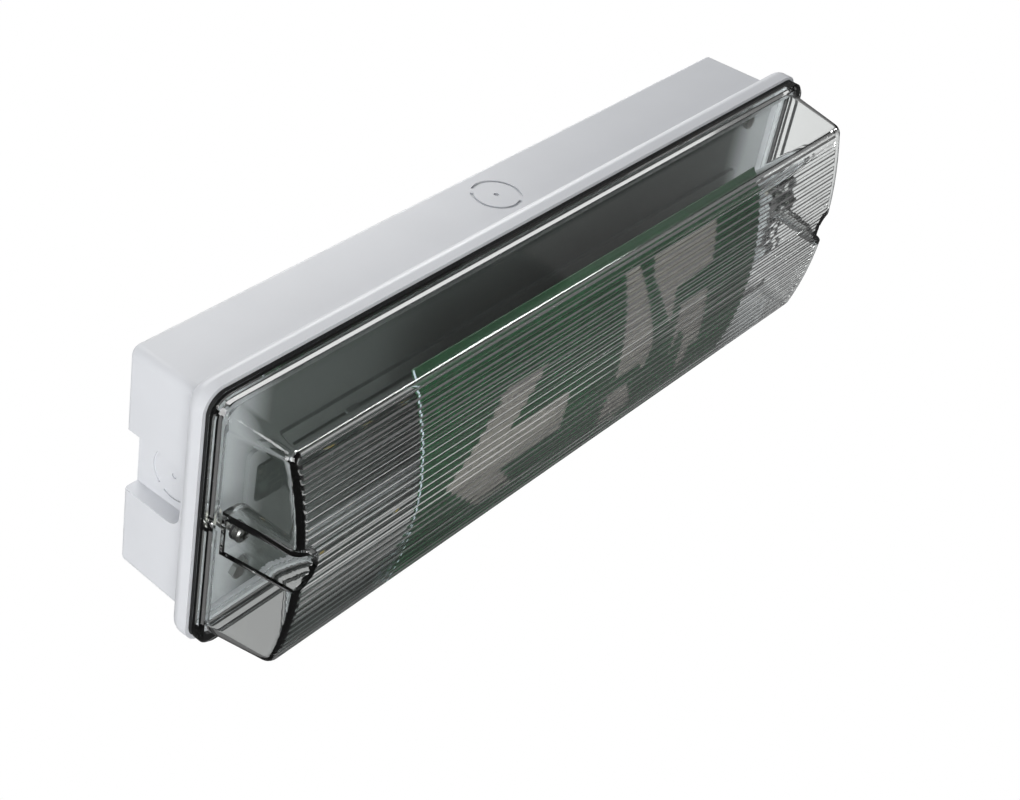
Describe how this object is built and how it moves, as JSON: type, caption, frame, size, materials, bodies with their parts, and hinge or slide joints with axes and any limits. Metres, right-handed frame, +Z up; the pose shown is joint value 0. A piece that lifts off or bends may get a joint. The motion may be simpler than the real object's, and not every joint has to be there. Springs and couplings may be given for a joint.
{
  "type": "emergency light",
  "caption": "Wall-mounted emergency exit light: moulded back box, black rim gasket, clear ribbed cover with a curved green sign film, and captive cover screws.",
  "frame": {"origin": "centre of the back face, which lies on the wall", "axes": "+X along the length to the right seen from the front, +Y into the wall, +Z up; the front faces -Y"},
  "size_m": [0.355, 0.0793, 0.1124],
  "materials": {
    "housing_white": "fine satin moulded",
    "gasket_black": "matt foam rubber",
    "clear_cover": "clear polycarbonate",
    "sign_film": "translucent printed film",
    "tray_grey": "satin dark grey",
    "zinc_steel": "zinc plated",
    "board_dark": "dark solder mask",
    "led_yellow": "phosphor under clear resin",
    "indicator_green": "tinted clear resin",
    "battery_sleeve": "shrink sleeve",
    "clip_white": "moulded",
    "board_green": "green solder mask",
    "core_dark": "varnished core",
    "capacitor_can": "sleeved can",
    "connector_white": "moulded",
    "terminal_white": "moulded",
    "stainless": "bright turned",
    "seal_black": "matt",
    "retainer_white": "moulded nylon"
  },
  "bodies": {
    "base": {"base_housing": "housing_white", "rim_gasket": "gasket_black", "gear_tray": "tray_grey", "tray_screws": "zinc_steel", "led_board": "board_dark", "led_chips": "led_yellow", "indicator_led": "indicator_green", "battery_pack": "battery_sleeve", "battery_clips": "clip_white", "driver_board": "board_green", "transformer": "core_dark", "capacitors": "capacitor_can", "driver_connectors": "connector_white", "terminal_block": "terminal_white", "terminal_screws": "zinc_steel"},
    "cover": {"diffuser": "clear_cover", "legend_film": "sign_film"},
    "left_seal": {"screw_seal_left": "seal_black"},
    "left_screw": {"cover_screw_left": "stainless", "screw_retainer_left": "retainer_white"},
    "right_seal": {"screw_seal_right": "seal_black"},
    "right_screw": {"cover_screw_right": "stainless", "screw_retainer_right": "retainer_white"}
  },
  "joints": [
    {"name": "cover_lift", "type": "slide", "parent": "base", "child": "cover", "axis": [0, -1, 0], "range_m": [0, 0.08]},
    {"name": "left_screw_travel", "type": "slide", "parent": "cover", "child": "left_seal", "axis": [0, -1, 0], "range_m": [0, 0.007]},
    {"name": "left_screw_turn", "type": "hinge", "parent": "left_seal", "child": "left_screw", "pos_m": [-0.167, -0.051, 0], "axis": [0, -1, 0], "range_deg": [0, 1440]},
    {"name": "right_screw_travel", "type": "slide", "parent": "cover", "child": "right_seal", "axis": [0, -1, 0], "range_m": [0, 0.007]},
    {"name": "right_screw_turn", "type": "hinge", "parent": "right_seal", "child": "right_screw", "pos_m": [0.167, -0.051, 0], "axis": [0, -1, 0], "range_deg": [0, 1440]}
  ],
  "couplings": [
    {"joint": "left_screw_turn", "follows": "left_screw_travel", "rad_per_m": 3590.4},
    {"joint": "right_screw_turn", "follows": "right_screw_travel", "rad_per_m": 3590.4}
  ]
}
